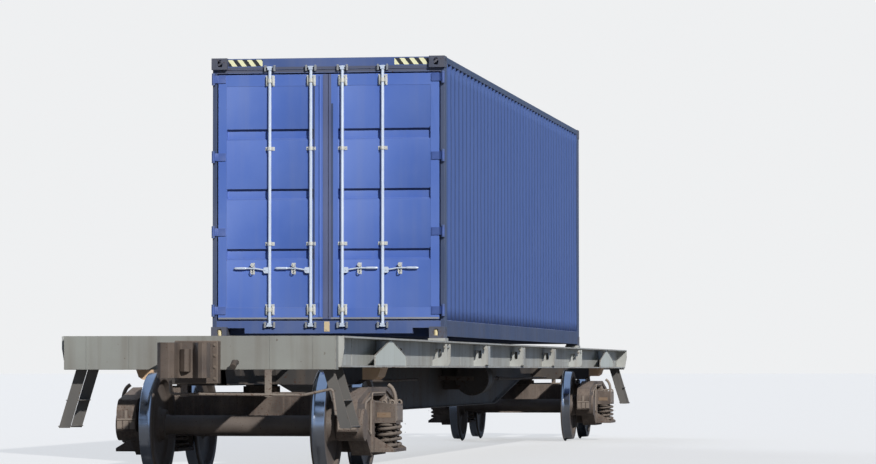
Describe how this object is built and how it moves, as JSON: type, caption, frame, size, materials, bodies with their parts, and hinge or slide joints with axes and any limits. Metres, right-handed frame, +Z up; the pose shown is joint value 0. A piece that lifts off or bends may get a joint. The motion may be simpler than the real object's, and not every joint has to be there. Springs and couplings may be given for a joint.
{
  "type": "container flatcar",
  "caption": "Long bogie flatcar on rail wheels carrying one high-cube steel freight container with corrugated walls and hinged double doors.",
  "frame": {"origin": "middle of the car on the level of the wheel flanges' lowest points", "axes": "+X along the car, away from the container doors; +Y to the left seen from the door end; +Z up"},
  "size_m": [26.0084, 2.626, 4.2258],
  "materials": {
    "bogie_cast": "cast steel with brown brake dust",
    "casting": "worn blue-grey paint with rust",
    "container_blue": "faded blue paint",
    "coupler_cast": "raw cast steel",
    "door_blue": "faded blue paint",
    "frame_paint": "light grey paint, dusty and streaked",
    "galvanised": "galvanised steel",
    "plywood": "worn sealed plywood",
    "rubber": "weathered rubber",
    "spring_steel": "dusty coil springs",
    "underframe_dark": "dark paint under brake dust",
    "wheel_steel": "forged steel, bright tread"
  },
  "bodies": {
    "car": {"air_reservoir": "underframe_dark", "body_bolsters": "underframe_dark", "bottom_rails": "container_blue", "brake_brackets": "underframe_dark", "brake_cylinder": "underframe_dark", "cam_keepers": "galvanised", "center_plates": "underframe_dark", "center_sill": "underframe_dark", "container_floor": "plywood", "corner_castings": "casting", "corner_posts": "container_blue", "corner_steps": "underframe_dark", "corner_stops": "casting", "couplers": "coupler_cast", "cross_beams": "underframe_dark", "door_header": "casting", "door_sill": "door_blue", "end_wall": "container_blue", "floor_beams": "container_blue", "folded_stops": "frame_paint", "front_end_rails": "container_blue", "headstocks": "frame_paint", "hinge_lugs": "door_blue", "left_side_wall": "container_blue", "right_side_wall": "container_blue", "roof": "container_blue", "side_sills": "frame_paint", "stop_brackets": "frame_paint", "strikers": "coupler_cast", "top_rails": "container_blue", "train_pipe": "underframe_dark"},
    "front_bogie": {"front_bogie_axle_boxes": "bogie_cast", "front_bogie_bolster": "bogie_cast", "front_bogie_brake_beams": "bogie_cast", "front_bogie_side_frames": "bogie_cast", "front_bogie_springs": "spring_steel", "front_bogie_wedges": "bogie_cast"},
    "rear_bogie": {"rear_bogie_axle_boxes": "bogie_cast", "rear_bogie_bolster": "bogie_cast", "rear_bogie_brake_beams": "bogie_cast", "rear_bogie_side_frames": "bogie_cast", "rear_bogie_springs": "spring_steel", "rear_bogie_wedges": "bogie_cast"},
    "wheelset_1": {"axle_1": "wheel_steel", "wheels_1": "wheel_steel"},
    "wheelset_2": {"axle_2": "wheel_steel", "wheels_2": "wheel_steel"},
    "wheelset_3": {"axle_3": "wheel_steel", "wheels_3": "wheel_steel"},
    "wheelset_4": {"axle_4": "wheel_steel", "wheels_4": "wheel_steel"},
    "left_door": {"left_door": "door_blue", "left_door_gasket": "rubber", "left_door_lock_gear": "galvanised"},
    "right_door": {"right_door": "door_blue", "right_door_gasket": "rubber", "right_door_lock_gear": "galvanised"}
  },
  "joints": [
    {"name": "front_bogie_swivel", "type": "hinge", "parent": "car", "child": "front_bogie", "pos_m": [-9.5, 0, 0.828], "axis": [0, 0, 1], "range_deg": [-8, 8]},
    {"name": "rear_bogie_swivel", "type": "hinge", "parent": "car", "child": "rear_bogie", "pos_m": [9.5, 0, 0.828], "axis": [0, 0, 1], "range_deg": [-8, 8]},
    {"name": "wheelset_1_roll", "type": "hinge", "parent": "front_bogie", "child": "wheelset_1", "pos_m": [-10.425, 0, 0.5065], "axis": [0, 1, 0], "continuous": true},
    {"name": "wheelset_2_roll", "type": "hinge", "parent": "front_bogie", "child": "wheelset_2", "pos_m": [-8.575, 0, 0.5065], "axis": [0, 1, 0], "continuous": true},
    {"name": "wheelset_3_roll", "type": "hinge", "parent": "rear_bogie", "child": "wheelset_3", "pos_m": [8.575, 0, 0.5065], "axis": [0, 1, 0], "continuous": true},
    {"name": "wheelset_4_roll", "type": "hinge", "parent": "rear_bogie", "child": "wheelset_4", "pos_m": [10.425, 0, 0.5065], "axis": [0, 1, 0], "continuous": true},
    {"name": "left_door_hinge", "type": "hinge", "parent": "car", "child": "left_door", "pos_m": [-6.078, 1.201, 2.7], "axis": [0, 0, 1], "range_deg": [-260, 0]},
    {"name": "right_door_hinge", "type": "hinge", "parent": "car", "child": "right_door", "pos_m": [-6.078, -1.201, 2.7], "axis": [0, 0, 1], "range_deg": [0, 260]}
  ]
}
